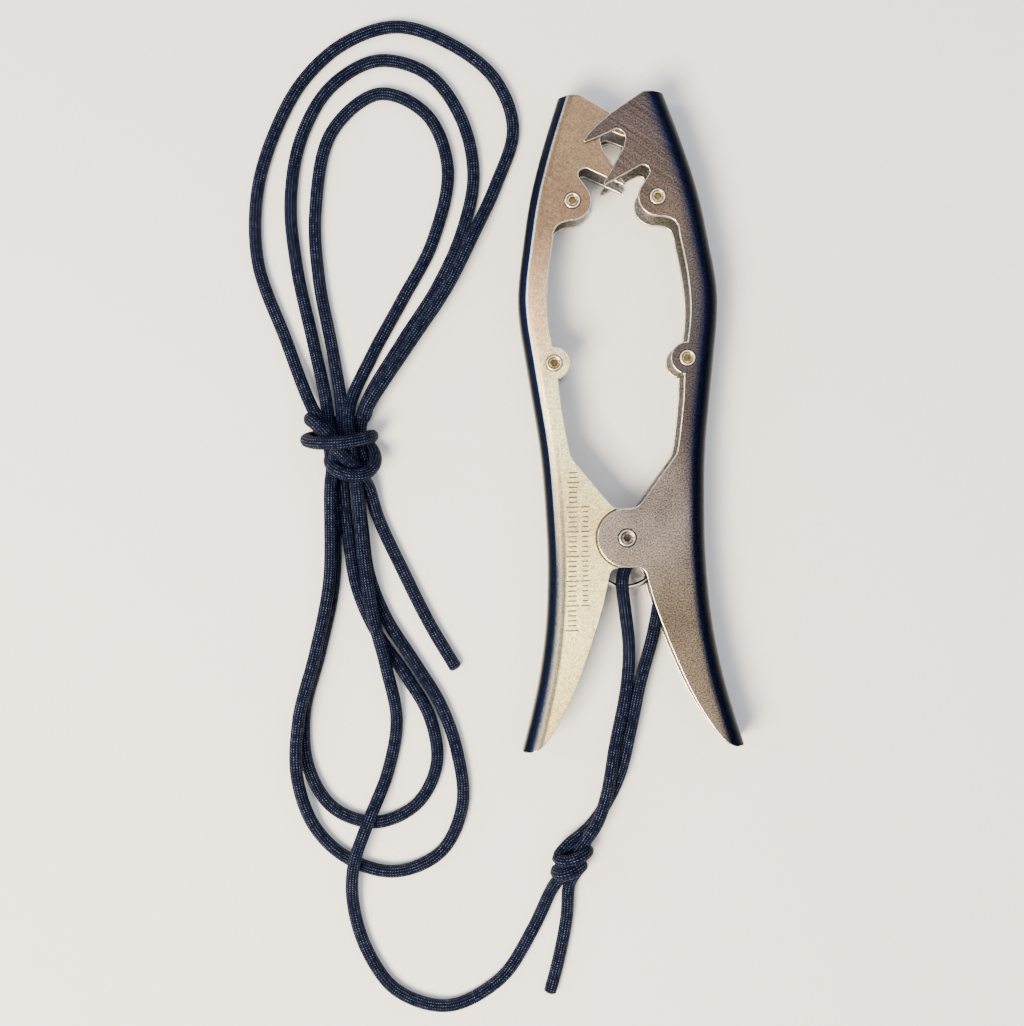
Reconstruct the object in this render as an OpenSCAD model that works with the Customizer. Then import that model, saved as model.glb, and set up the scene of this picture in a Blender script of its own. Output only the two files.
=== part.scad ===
// Spring-loaded two-arm gripper with claw jaws and a tether cord, in millimetres.
// +X is to the right arm, +Y towards the jaws, +Z out of the front face.
// The origin is under the middle of the gripper, on the surface it lies on.

/* [Sheet metal] */
// Thickness of the pressed steel sheet
sheet_t = 1.4; // [1.2:0.1:1.6]
// Depth of the outer channel, front face to back face
channel_depth = 18; // [17:0.5:22]
// Gap between the nested flanges of the two arms
nest_gap = 0.2; // [0.1:0.05:0.4]

/* [Fasteners] */
// Outside diameter of the spacers between the flanges
standoff_d = 6; // [5:0.5:7]
// Shank diameter of the spacer screws
screw_d = 3; // [2.6:0.1:3.5]
// Head diameter of the spacer screws
head_d = 4.8; // [4.6:0.1:5.4]
// Height of a front head above its flange
head_h = 0.5; // [0.4:0.1:0.8]
// Hexagon sockets of the screws, across flats
socket_af = 2; // [1.6:0.1:2.1]

/* [Pivot] */
// Journal that the arms turn on
journal_d = 4; // [3.6:0.1:4.2]
// Radial running clearance of the arms on the journal
running_gap = 0.05; // [0.02:0.01:0.1]
// Shoulder of the barrel between the inner flanges
barrel_d = 6; // [5.5:0.1:6.5]
// Head diameter of the pivot screws
pivot_head_d = 5.2; // [5:0.1:5.6]
// Shank diameter of the pivot screws
pivot_screw_d = 2.6; // [2.5:0.1:2.8]

/* [Spring and ring] */
// Wire of the torsion spring
spring_wire = 1.4; // [1:0.1:1.5]
// Number of turns in the spring's coil
spring_turns = 3; // [2:1:3]
// Wire of the tether ring
ring_wire = 1.8; // [1.4:0.1:2]
// Outside diameter of the tether ring
ring_d = 23.6; // [23:0.1:24]

/* [Cord] */
// Diameter of the tether cord
cord_d = 4; // [3.5:0.1:4]

/* [Hidden] */
$fn = 48;

// Outlines and cord routes are measured from the pivot, which lies here on Y.
jaw_top = 135.4;
handle_end = -64.6;
pivot_y = -(jaw_top + handle_end) / 2;

// Depths of the nested channels.
inset = sheet_t + nest_gap;
inner_floor = inset + sheet_t;
inner_roof = channel_depth - inner_floor;

// Places of the spacers on the right arm, and radii around them.
upper_spacer = [12.9, 103.1];
mid_spacer = [20.2, 53.9];
lobe_r = 5.9;
tab_r = 5;
lug_r = 9;

// Screw proportions.
back_head_h = sheet_t / 2;
shank_l = 6;
socket_depth = 1.2;
dish_d = 3.2;
dish_depth = 0.25;
bore_gap = 0.1;

// The ring hangs round the barrel, below the spring's coil.
ring_centre = [0, -4.5];
ring_floor = 6;
ring_pivot_z = ring_floor + ring_wire / 2;

// The coil stands on top of the ring's level, its legs rest inside the handle spines.
coil_r = barrel_d / 2 + 0.4 + spring_wire / 2;
coil_top = inner_roof - 0.2 - spring_wire / 2;
coil_pitch = spring_wire + 0.1;
coil_steps = 14;
spring_leg_end = [23.1, -26];

// ---- Curve helpers -------------------------------------------------------

// Points on an arc from angle a to angle b.
function arc(centre, radius, a, b, steps) =
    [for (i = [0:steps]) let (t = a + (b - a) * i / steps) centre + radius * [cos(t), sin(t)]];

// One point of a Catmull-Rom curve between p1 and p2.
function spline_point(p0, p1, p2, p3, t) =
    0.5 * (2 * p1 + (p2 - p0) * t + (2 * p0 - 5 * p1 + 4 * p2 - p3) * t * t
        + (3 * p1 - p0 - 3 * p2 + p3) * t * t * t);

// A smooth curve through all the given points.
function spline(p, steps) = let (n = len(p) - 1) concat(
    [for (i = [0:n - 1], j = [0:steps - 1])
        spline_point(
            i > 0 ? p[i - 1] : 2 * p[0] - p[1], p[i], p[i + 1],
            i < n - 1 ? p[i + 2] : 2 * p[n] - p[n - 1], j / steps)],
    [p[n]]);

function unit(v) = v / norm(v);
function reversed(p) = [for (i = [len(p) - 1:-1:0]) p[i]];

// The curve moved sideways by a distance, to the left of its direction. Its two ends move
// level along X, so that a wall between both curves is cut off square to Y.
function beside(p, distance) = let (last = len(p) - 1) [for (i = [0:last])
    let (d = unit(p[min(i + 1, last)] - p[max(i - 1, 0)]))
        p[i] + distance * (i == 0 || i == last ? [-1 / d[1], 0] : [-d[1], d[0]])];

// ---- Arm outline (right arm) ---------------------------------------------

// Outer edge, from the jaw's top corner down to the handle's end.
function outer_edge() = spline([
    [16, jaw_top], [21.3, 120], [25.6, 105], [28.4, 90], [30.4, 76], [30.2, 66], [28.8, 55],
    [26.8, 40], [25.1, 25], [24.3, 8], [24.2, -8], [25.3, -25], [27.6, -40], [30.7, -53],
    [34, handle_end]
], 4);

// Upper claw: the sloping top, the hooked tip and its underside.
function upper_claw() = concat(
    [[9.8, jaw_top], [8.2, 134.5], [0, 129.3], [-5.2, 125.2], [-7.6, 122.7]],
    arc([-8.35, 120.85], 0.6, 150, 285, 4),
    [[-4.5, 121.6]]);

// Round-ended throat between the upper and the lower claw.
function throat() = concat(arc([0.9, 121.2], 2.8, 85, -20, 6), [[3.1, 118.6], [0, 113.3]]);

// Lower claw, and the notch behind it.
function lower_claw() = concat(
    arc([-2.85, 107.75], 0.5, 170, 300, 4),
    arc([8.8, 110.9], 1.9, 125, -40, 8));

// Lobe round the upper spacer, running down into the inner edge.
function lobe_and_belly() = concat(
    arc(upper_spacer, lobe_r, 140, 262, 10),
    spline([[14.2, 97.1], [17.2, 96.1], [18.8, 94], [19.3, 90.5], [20.5, 84], [21.4, 77],
        [21.7, 70], [21.3, 64]], 3));

// Round tab that carries the middle spacer, and the stem below it.
function tab_and_stem() = concat(
    arc(mid_spacer, tab_r, 87, 257, 14),
    spline([[19, 48.2], [18.6, 42], [17.4, 33], [16.2, 26], [15.3, 24.1]], 3));

// Slope down to the lug, the round lug and the crotch under it.
function lug() = concat(
    spline([[5.4, 11.4], [4, 9.9], [2.6, 9.15], [1.2, 8.95]], 3),
    arc([0, 0], lug_r, 88, 270, 18),
    spline([[2.8, -9.05], [4.4, -9.6], [5.4, -11], [6.2, -14.5], [7.6, -20]], 3));

// Inner edge of the handle, with its rounded end.
function handle_edge() = spline([
    [9.2, -25], [12.8, -35], [17.3, -46], [22, -55], [26.6, -61.6], [29.6, -64], [32, handle_end]
], 3);

function arm_outline() = concat(
    upper_claw(), throat(), lower_claw(), lobe_and_belly(), tab_and_stem(), lug(),
    handle_edge(), reversed(outer_edge()));

// ---- Arms ----------------------------------------------------------------

// One arm as a channel: a front and a back flange joined by a spine along the outer edge.
module channel(depth) {
    edge = outer_edge();
    for (z = [0, depth - sheet_t]) translate([0, 0, z])
        linear_extrude(sheet_t) polygon(arm_outline());
    linear_extrude(depth) polygon(concat(edge, reversed(beside(edge, -sheet_t))));
}

// Holes of one arm: the pivot bore and, at each spacer, a screw hole with a sunk seat behind.
module arm_holes(depth, seat_at_pivot) {
    through = depth + 2;
    translate([0, 0, -1]) cylinder(h = through, d = journal_d + 2 * running_gap);
    if (seat_at_pivot)
        translate([0, 0, -1]) cylinder(h = 1 + back_head_h + running_gap, d = pivot_head_d + 2 * bore_gap);
    for (place = [upper_spacer, mid_spacer]) translate([place[0], place[1], -1]) {
        cylinder(h = through, d = screw_d + 2 * bore_gap);
        cylinder(h = 1 + back_head_h, d = head_d + 2 * bore_gap);
    }
}

// Outer arm, whose back flange lies on the surface.
module right_arm() {
    color("dimgray") at_pivot(0) difference() {
        channel(channel_depth);
        arm_holes(channel_depth, true);
    }
}

// Inner arm, nested between the outer arm's flanges.
module left_arm() {
    color("tan") at_pivot(inset) mirror([1, 0, 0]) difference() {
        channel(channel_depth - 2 * inset);
        arm_holes(channel_depth - 2 * inset, false);
    }
}

module at_pivot(z) {
    translate([0, pivot_y, z]) children();
}

// Puts a piece at one of the spacers: side is 1 on the right arm and -1 on the left.
module at_spacer(side, place, z) {
    at_pivot(z) translate([side * place[0], place[1], 0]) children();
}

// ---- Spacers and screws --------------------------------------------------

// How far an arm's flanges are from the outer faces: the left arm is the nested one.
function flange_inset(side) = side > 0 ? 0 : inset;

module standoff(side, place) {
    gap = channel_depth - 2 * (flange_inset(side) + sheet_t);
    color("silver") at_spacer(side, place, flange_inset(side) + sheet_t) difference() {
        cylinder(h = gap, d = standoff_d);
        translate([0, 0, -1]) cylinder(h = gap + 2, d = screw_d + bore_gap);
    }
}

// A low-head screw standing head down at z = 0, its shank pointing up. The head is dished
// round its hexagon socket.
module screw(head, height, shank, length) {
    difference() {
        union() {
            cylinder(h = height, d = head);
            cylinder(h = height + length, d = shank);
        }
        translate([0, 0, -1]) cylinder(h = 1 + dish_depth, d = dish_d);
        translate([0, 0, -1]) cylinder(h = 1 + socket_depth, d = socket_af / cos(30), $fn = 6);
    }
}

// Front screw: its head stands on the flange.
module front_screw(side, place) {
    color("goldenrod") at_spacer(side, place, channel_depth - flange_inset(side) + head_h)
        mirror([0, 0, 1]) screw(head_d, head_h, screw_d, shank_l);
}

// Back screw: its head is flush in the flange's seat.
module back_screw(side, place) {
    color("goldenrod") at_spacer(side, place, flange_inset(side))
        screw(head_d, back_head_h, screw_d, shank_l);
}

module left_upper_standoff() { standoff(-1, upper_spacer); }
module left_mid_standoff() { standoff(-1, mid_spacer); }
module right_upper_standoff() { standoff(1, upper_spacer); }
module right_mid_standoff() { standoff(1, mid_spacer); }
module left_upper_screw_front() { front_screw(-1, upper_spacer); }
module left_upper_screw_back() { back_screw(-1, upper_spacer); }
module left_mid_screw_front() { front_screw(-1, mid_spacer); }
module left_mid_screw_back() { back_screw(-1, mid_spacer); }
module right_upper_screw_front() { front_screw(1, upper_spacer); }
module right_upper_screw_back() { back_screw(1, upper_spacer); }
module right_mid_screw_front() { front_screw(1, mid_spacer); }
module right_mid_screw_back() { back_screw(1, mid_spacer); }

// ---- Pivot ---------------------------------------------------------------

// Stepped barrel: journals at both ends, a shoulder between the inner flanges.
module pivot_barrel() {
    top = channel_depth + running_gap;
    color("silver") at_pivot(0) difference() {
        union() {
            translate([0, 0, back_head_h]) cylinder(h = top - back_head_h, d = journal_d);
            translate([0, 0, inner_floor + running_gap])
                cylinder(h = inner_roof - inner_floor - 2 * running_gap, d = barrel_d);
        }
        translate([0, 0, -1]) cylinder(h = top + 2, d = pivot_screw_d + bore_gap);
    }
}

module pivot_screw_front() {
    color("goldenrod") at_pivot(channel_depth + running_gap + head_h) mirror([0, 0, 1])
        screw(pivot_head_d, head_h, pivot_screw_d, shank_l);
}

module pivot_screw_back() {
    color("goldenrod") at_pivot(0) screw(pivot_head_d, back_head_h, pivot_screw_d, shank_l);
}

// ---- Spring and ring -----------------------------------------------------

// Both legs leave the coil on tangents: the first at this angle, the last at its mirror image.
first_tangent = acos(coil_r / norm(spring_leg_end)) - atan2(-spring_leg_end[1], spring_leg_end[0]);
coil_sweep = 360 * spring_turns + 180 - 2 * first_tangent;
coil_bottom = coil_top - coil_pitch * coil_sweep / 360;

// From the right leg's end, down through the coil, to the left leg's end.
function coil_path() = let (steps = ceil(coil_steps * coil_sweep / 360)) concat(
    [[spring_leg_end[0], spring_leg_end[1], coil_top]],
    [for (i = [0:steps]) let (t = i / steps, a = first_tangent + coil_sweep * t)
        [coil_r * cos(a), coil_r * sin(a), coil_top + (coil_bottom - coil_top) * t]],
    [[-spring_leg_end[0], spring_leg_end[1], coil_bottom]]);

module torsion_spring() {
    color("slategray") at_pivot(0) wire(coil_path(), spring_wire / 2);
}

module tether_ring() {
    color("lightgray") at_pivot(ring_pivot_z) translate(ring_centre)
        rotate_extrude() translate([(ring_d - ring_wire) / 2, 0]) circle(d = ring_wire);
}

// ---- Cord ----------------------------------------------------------------

// A round tube swept along a path that never stands upright.
module wire(path, radius, sides = 8) {
    last = len(path) - 1;
    steps = [for (i = [0:last - 1]) unit(path[i + 1] - path[i])];
    rings = [for (i = [0:last]) let (
            along = unit(steps[max(i - 1, 0)] + steps[min(i, last - 1)]),
            side = unit(cross(along, [0, 0, 1])),
            up = cross(side, along))
        for (k = [0:sides - 1]) let (a = 360 * (k + 0.5) / sides)
            path[i] + radius * (cos(a) * side + sin(a) * up)];
    walls = [for (i = [0:last - 1], k = [0:sides - 1]) let (
            a = i * sides + k, b = i * sides + (k + 1) % sides)
        [a, b, b + sides, a + sides]];
    start = [[for (k = [sides - 1:-1:0]) k]];
    end = [[for (k = [0:sides - 1]) last * sides + k]];
    polyhedron(rings, concat(start, walls, end), convexity = 8);
}

// Every stretch of cord is a list of places that its centre passes through.
strand_over_ring = [
    [4, -7, 6.6], [0.4, -8, 8.6], [-1.7, -11.4, 9.8], [-2.2, -15.6, 10], [-1.6, -22, 8.4],
    [-0.4, -34, 6], [-1.4, -47, 5.5], [-4.6, -64, 5.5], [-8.4, -80, 6], [-11.8, -88.5, 6.8]
];
strand_under_ring = [
    [4, -7, 6.6], [7.2, -9, 4.2], [9, -12.5, 3.9], [9.6, -19, 3.8], [7.9, -31, 3.8],
    [4, -45, 3.8], [0.2, -60, 3.9], [-4.2, -75, 3.6], [-11.2, -88, 2.2]
];
tail_route = [[-21.3, -108, 2.8], [-22, -118, 2], [-24.8, -130.5, 2], [-28.2, -142, 2]];
standing_route = [
    [-26.3, -108, 3.2], [-34, -121, 2], [-44.5, -135.3, 2], [-60, -143, 2], [-75, -138.3, 2],
    [-84.5, -126, 2], [-88.6, -111, 3], [-87.4, -98, 6.4], [-82.4, -85, 6.4], [-76.4, -71, 2.4],
    [-73, -55, 2.2], [-75.3, -38, 6], [-78.8, -22, 6.4], [-81.3, -2, 6.4], [-82.3, 19.5, 7.6]
];
inner_lower_route = [
    [-87, 19.5, 4], [-86, 3, 2], [-84, -12.5, 2], [-78.6, -26.5, 2], [-69.8, -40.5, 2],
    [-62.5, -54.5, 2], [-61, -69, 2], [-67.8, -81.3, 2], [-80.5, -86.4, 2], [-93.6, -81.6, 2],
    [-101, -69, 2], [-101.8, -52, 2], [-96.4, -32, 2], [-91.6, -10, 2], [-91.2, 19.5, 4.4]
];
outer_lower_route = [
    [-82.8, 19.5, 3], [-81.5, 5, 2], [-80, -9, 2], [-75.2, -22.5, 2], [-66.8, -36.8, 2],
    [-59, -50.6, 2], [-54.4, -65.5, 2], [-53.4, -82, 2], [-60.5, -96.3, 2], [-74.5, -102, 2],
    [-88.5, -98.2, 2], [-99.4, -87.8, 2.2], [-104.2, -71, 6.2], [-103.1, -53, 6.4],
    [-97.2, -32, 6.4], [-92.6, -10, 6.4], [-91.4, 19.5, 8.8]
];
inner_upper_route = [
    [-86.6, 43.5, 3.5], [-89, 62, 2], [-92.4, 84, 2], [-92.8, 105, 2], [-86.8, 130, 2],
    [-71.5, 141.4, 2], [-57, 134.5, 2], [-50.9, 117.5, 2], [-56.5, 94.5, 2], [-67, 76, 2],
    [-77, 59, 2], [-84, 43.5, 4.5]
];
middle_upper_route = [
    [-91, 43.5, 4.5], [-95, 65, 2], [-99.2, 88, 2], [-100.4, 109, 2], [-96.2, 129, 2],
    [-86.5, 144.2, 2], [-71.5, 151.8, 2], [-56, 147, 2], [-46.2, 133, 2], [-42.9, 115, 2],
    [-47.2, 97, 2], [-55.6, 80, 2], [-67, 63.5, 2], [-79.4, 43.5, 2.6]
];
outer_upper_route = [
    [-95.4, 43.5, 6], [-103.6, 66, 2], [-111.3, 90, 2], [-110.8, 111.5, 2], [-105.3, 129, 2],
    [-95.5, 146, 2], [-81.5, 157.8, 2], [-65, 162.2, 2], [-48.2, 156, 2], [-35, 144.5, 2],
    [-30, 129, 2], [-36, 111.5, 2.4], [-43.2, 96.5, 5.6], [-52.6, 79.2, 6.2], [-65, 62, 6.2],
    [-78, 43.5, 7.2]
];
free_end_route = [
    [-78.6, 19.5, 4], [-76.4, 8.5, 2], [-69.4, -8, 2], [-61.6, -25, 2], [-53.6, -39.5, 2]
];

module cord(route) {
    color("midnightblue") at_pivot(0) wire(route, cord_d / 2);
}

module tether_strand() { cord(strand_over_ring); }
module tail_strand() { cord(strand_under_ring); }
module tail_end() { cord(tail_route); }
module standing_cord() { cord(standing_route); }
module inner_lower_loop() { cord(inner_lower_route); }
module outer_lower_loop() { cord(outer_lower_route); }
module inner_upper_loop() { cord(inner_upper_route); }
module middle_upper_loop() { cord(middle_upper_route); }
module outer_upper_loop() { cord(outer_upper_route); }
module free_end() { cord(free_end_route); }

// The knot that joins both strands below the handles, as its outer shape.
small_knot_h = 10.5;
module small_knot() {
    color("navy") at_pivot(0) linear_extrude(small_knot_h) polygon([
        [-14.5, -88.2], [-9.5, -87.6], [-9.8, -91.5], [-12.4, -95.5], [-13.6, -99],
        [-17.2, -102.5], [-18.6, -105.5], [-19, -108.6], [-28.6, -108.6], [-27, -104.5],
        [-26.8, -98.5], [-20.5, -93.6]
    ]);
}

// The knot that ties the hank in its middle, as its outer shape.
hank_knot_h = 17;
hank_knot_box = [[-99.8, 19], [-75.4, 44]];
hank_knot_corner = 2.6;
module hank_knot() {
    lo = hank_knot_box[0] + hank_knot_corner * [1, 1];
    hi = hank_knot_box[1] - hank_knot_corner * [1, 1];
    color("navy") at_pivot(0) linear_extrude(hank_knot_h) polygon(concat(
        arc(lo, hank_knot_corner, 180, 270, 4), arc([hi[0], lo[1]], hank_knot_corner, 270, 360, 4),
        arc(hi, hank_knot_corner, 0, 90, 4), arc([lo[0], hi[1]], hank_knot_corner, 90, 180, 4)));
}

left_arm();
right_arm();
left_upper_standoff();
left_mid_standoff();
right_upper_standoff();
right_mid_standoff();
left_upper_screw_front();
left_upper_screw_back();
left_mid_screw_front();
left_mid_screw_back();
right_upper_screw_front();
right_upper_screw_back();
right_mid_screw_front();
right_mid_screw_back();
pivot_barrel();
pivot_screw_front();
pivot_screw_back();
torsion_spring();
tether_ring();
tether_strand();
tail_strand();
small_knot();
tail_end();
standing_cord();
hank_knot();
inner_lower_loop();
outer_lower_loop();
inner_upper_loop();
middle_upper_loop();
outer_upper_loop();
free_end();
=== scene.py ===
"""Looks of a sprung claw gripper with a knotted tether cord.

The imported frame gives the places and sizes. This script rolls the bends of the two pressed arms,
dresses the screws, winds the spring, and lays one braided cord through both of its knots.
Lengths are in metres, and those written as plain millimetres are turned by MM.
"""

import logging
import math
from dataclasses import dataclass, field
from enum import Enum
from typing import Any, Iterable, Sequence

import bmesh
import bpy
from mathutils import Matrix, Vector

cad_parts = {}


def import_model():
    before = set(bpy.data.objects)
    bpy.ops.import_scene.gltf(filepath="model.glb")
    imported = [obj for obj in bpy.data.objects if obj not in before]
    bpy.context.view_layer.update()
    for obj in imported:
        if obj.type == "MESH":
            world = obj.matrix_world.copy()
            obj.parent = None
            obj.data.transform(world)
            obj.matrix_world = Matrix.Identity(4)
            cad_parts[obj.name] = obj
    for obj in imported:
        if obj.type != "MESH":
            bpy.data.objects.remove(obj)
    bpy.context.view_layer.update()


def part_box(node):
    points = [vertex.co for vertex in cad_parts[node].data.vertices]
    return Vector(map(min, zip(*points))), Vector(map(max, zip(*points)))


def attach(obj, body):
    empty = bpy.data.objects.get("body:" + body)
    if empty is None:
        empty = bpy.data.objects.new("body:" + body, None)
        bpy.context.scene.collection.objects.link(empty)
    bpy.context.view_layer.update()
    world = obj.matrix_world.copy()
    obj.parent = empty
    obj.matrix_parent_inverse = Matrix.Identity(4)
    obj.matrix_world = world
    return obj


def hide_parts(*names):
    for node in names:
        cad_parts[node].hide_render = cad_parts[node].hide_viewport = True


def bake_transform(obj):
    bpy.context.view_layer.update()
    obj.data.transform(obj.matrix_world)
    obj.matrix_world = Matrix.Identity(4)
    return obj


MM = 0.001
LOG = logging.getLogger("claw_gripper")

Material = bpy.types.Material
Piece = bpy.types.Object
Socket = bpy.types.NodeSocket
Tree = bpy.types.NodeTree
Point = tuple[float, float, float]
Colour = tuple[float, float, float, float]
# A band of colour across a bend: its place, its colour, and how much of the sheet it covers.
Band = tuple[float, str, float]


class Side(Enum):
    """The two arms, and where each lies along X."""

    LEFT = -1
    RIGHT = 1

    @property
    def arm(self) -> str:
        """Name of the arm's node and body."""
        return f"{self.name.lower()}_arm"


class Face(Enum):
    """The two flanges that a screw can go through, and which way each one faces."""

    FRONT = 1
    BACK = -1


class Slot(Enum):
    """The record's material slots."""

    LEFT_ARM = "left_arm_steel"
    RIGHT_ARM = "right_arm_steel"
    SPACER = "spacer_steel"
    SCREW = "screw_steel"
    SPRING = "spring_steel"
    RING = "ring_steel"
    CORD = "cord"


# ---- Shared helpers ------------------------------------------------------------------


def linear(code: str) -> Colour:
    """Turn an sRGB hex colour into the linear one that a shader takes.

    Args:
        code: Six hex digits, such as "8a7f70".

    Returns:
        Linear red, green and blue, and an alpha of 1.
    """
    values = [int(code[i:i + 2], 16) / 255 for i in (0, 2, 4)]
    return (*(v / 12.92 if v <= 0.04045 else ((v + 0.055) / 1.055) ** 2.4 for v in values), 1.0)


def plug(tree: Tree, node: bpy.types.Node, inputs: dict[Any, Any]) -> None:
    """Set or link a node's inputs.

    Args:
        tree: The node's tree.
        node: The node.
        inputs: For each input's name or number, the value it has or the socket it is linked to.
    """
    for name, value in inputs.items():
        if isinstance(value, Socket):
            tree.links.new(value, node.inputs[name])
        else:
            node.inputs[name].default_value = value


def add(tree: Tree, kind: str, inputs: dict[Any, Any] | None = None,
        stops: Iterable[tuple[float, Colour]] = (), **settings: Any) -> bpy.types.Node:
    """Add a node to a tree.

    Args:
        tree: The node tree to add to.
        kind: The node's type name.
        inputs: For each input's name or number, the value it has or the socket it is linked to.
        stops: A colour ramp's places, from 0 to 1, and its linear colours, in order.
        **settings: The node's own properties.

    Returns:
        The new node.
    """
    node = tree.nodes.new(kind)
    for name, value in settings.items():
        setattr(node, name, value)
    plug(tree, node, inputs or {})
    for i, (place, colour) in enumerate(stops):
        elements = node.color_ramp.elements
        if i == 0:
            elements.remove(elements[1])
            elements[0].position, elements[0].color = place, colour
        else:
            elements.new(place).color = colour
    return node


def blank(name: str) -> tuple[Material, Tree, bpy.types.Node, Socket]:
    """Start a material.

    Args:
        name: The material's name.

    Returns:
        The material, its tree, its shader, and the socket of its Object coordinates.
    """
    material = bpy.data.materials.new(name)
    material.use_nodes = True
    tree = material.node_tree
    place = add(tree, "ShaderNodeTexCoord").outputs["Object"]
    return material, tree, tree.nodes["Principled BSDF"], place


def link_object(name: str, mesh: bpy.types.Mesh) -> Piece:
    """Make an object at the origin that shows a mesh.

    Args:
        name: The piece's name.
        mesh: Its mesh, already in place.

    Returns:
        The new object.
    """
    piece = bpy.data.objects.new(name, mesh)
    bpy.context.scene.collection.objects.link(piece)
    return piece


def settle(piece: Piece) -> None:
    """Turn what an object's modifiers make into its own plain mesh.

    Args:
        piece: The object, whose modifiers are then removed.
    """
    graph = bpy.context.evaluated_depsgraph_get()
    mesh = bpy.data.meshes.new_from_object(
        piece.evaluated_get(graph), preserve_all_data_layers=True, depsgraph=graph)
    piece.modifiers.clear()
    piece.data = mesh


def smooth(mesh: bpy.types.Mesh, angle: float) -> None:
    """Shade a mesh smooth, apart from edges sharper than an angle in degrees."""
    mesh.shade_smooth()
    mesh.set_sharp_from_angle(angle=math.radians(angle))


def open_kit(name: str, sockets: Sequence[tuple[str, str]]) -> tuple[Tree, Any]:
    """Start a Geometry Nodes tree with named inputs.

    Args:
        name: The tree's name.
        sockets: Name and kind of each input after the geometry.

    Returns:
        The tree and its input node's outputs.
    """
    tree = bpy.data.node_groups.new(name, "GeometryNodeTree")
    for label, kind in (("Geometry", "Geometry"), *sockets):
        tree.interface.new_socket(label, in_out="INPUT", socket_type=f"NodeSocket{kind}")
    tree.interface.new_socket(
        "Geometry", in_out="OUTPUT", socket_type="NodeSocketGeometry")
    return tree, tree.nodes.new("NodeGroupInput").outputs


def close_kit(tree: Tree, geometry: Socket, material: Socket) -> Tree:
    """End a Geometry Nodes tree in Realize Instances and Set Material.

    Args:
        tree: The tree to end.
        geometry: The socket that holds what the tree made.
        material: The socket that holds its material.

    Returns:
        The same tree.
    """
    real = add(tree, "GeometryNodeRealizeInstances", {"Geometry": geometry})
    dressed = add(tree, "GeometryNodeSetMaterial", {
        "Geometry": real.outputs[0], "Material": material})
    add(tree, "NodeGroupOutput", {0: dressed.outputs[0]})
    return tree


def run_kit(piece: Piece, tree: Tree, values: dict[str, Any]) -> None:
    """Run a Geometry Nodes tree on an object and keep what it makes as a plain mesh.

    Args:
        piece: The object.
        tree: The tree.
        values: A value for each of the tree's named inputs.
    """
    modifier = piece.modifiers.new(tree.name, "NODES")
    modifier.node_group = tree
    for item in tree.interface.items_tree:
        if item.in_out == "INPUT" and item.name in values:
            modifier[item.identifier] = values[item.name]
    settle(piece)


# ---- Finishes ------------------------------------------------------------------------


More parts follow.
